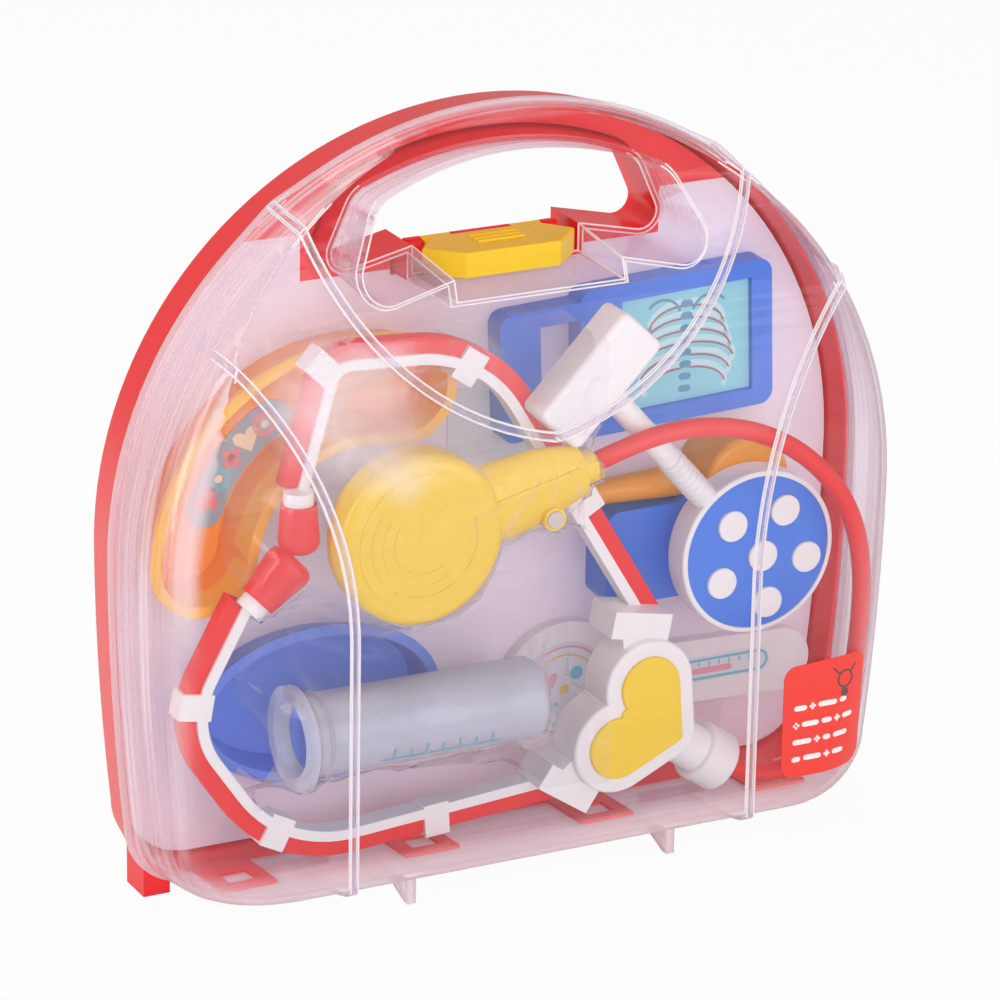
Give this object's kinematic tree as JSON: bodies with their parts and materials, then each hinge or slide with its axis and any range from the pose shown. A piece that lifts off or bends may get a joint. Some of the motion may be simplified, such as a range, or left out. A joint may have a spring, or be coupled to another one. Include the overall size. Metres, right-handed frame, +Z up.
{
  "type": "toy doctor case",
  "caption": "Arched toy doctor case with a clear hinged front, red back, carry handle, latch, and a packed set of plastic toy instruments with a looped stethoscope.",
  "frame": {"origin": "middle of the case on the standing surface, half way through its depth", "axes": "+X to the right seen from the clear front, +Y towards the red back, +Z up"},
  "size_m": [0.276, 0.0712, 0.259],
  "materials": {
    "red_shell": "gloss",
    "clear_shell": "gloss clear",
    "label": "gloss",
    "pin": "satin",
    "yellow_latch": "gloss",
    "card": "matt print",
    "orange_plastic": "gloss",
    "print": "gloss print",
    "blue_plastic": "gloss",
    "amber_plastic": "gloss",
    "pale_plastic": "satin",
    "clear_plastic": "gloss clear",
    "white_plastic": "gloss",
    "yellow_plastic": "gloss",
    "red_soft": "soft satin"
  },
  "bodies": {
    "case_back": {"rear_shell": "red_shell", "hinge_pins": "pin", "latch_pin": "pin", "card_insert": "card", "kidney_dish": "orange_plastic", "kidney_sticker": "print", "oval_dish": "blue_plastic", "viewer_frame": "blue_plastic", "viewer_picture": "print", "chart_card": "print", "otoscope_handle": "blue_plastic", "otoscope_head": "amber_plastic", "otoscope_cone": "amber_plastic", "thermometer_body": "pale_plastic", "thermometer_dial": "print", "thermometer_strip": "print", "syringe_barrel": "clear_plastic", "syringe_cap": "white_plastic", "heart_body": "white_plastic", "heart_badge": "yellow_plastic", "hose_spigot": "white_plastic", "hose": "red_soft", "chest_piece": "yellow_plastic", "chest_diaphragm": "clear_plastic", "chest_screw": "pin", "upper_arm": "white_plastic", "lower_arm": "white_plastic", "upper_arm_strip": "red_soft", "lower_arm_strip": "red_soft", "ear_tip_upper": "red_soft", "ear_tip_lower": "red_soft", "hammer_head": "white_plastic", "hammer_rod": "white_plastic", "disc_body": "white_plastic", "disc_face": "blue_plastic", "disc_studs": "white_plastic"},
    "lid": {"front_shell": "clear_shell", "front_label": "label"},
    "latch": {"latch": "yellow_latch"},
    "plunger": {"plunger_rod": "blue_plastic", "plunger_seal": "blue_plastic"}
  },
  "joints": [
    {"name": "lid_hinge", "type": "hinge", "parent": "case_back", "child": "lid", "pos_m": [0, 0.0156, 0.0025], "axis": [1, 0, 0], "range_deg": [0, 150]},
    {"name": "latch_hinge", "type": "hinge", "parent": "case_back", "child": "latch", "pos_m": [0, 0.0271, 0.2096], "axis": [-1, 0, 0], "range_deg": [0, 100]},
    {"name": "plunger_slide", "type": "slide", "parent": "case_back", "child": "plunger", "axis": [1, 0, 0], "range_m": [-0.02, 0.022]}
  ]
}
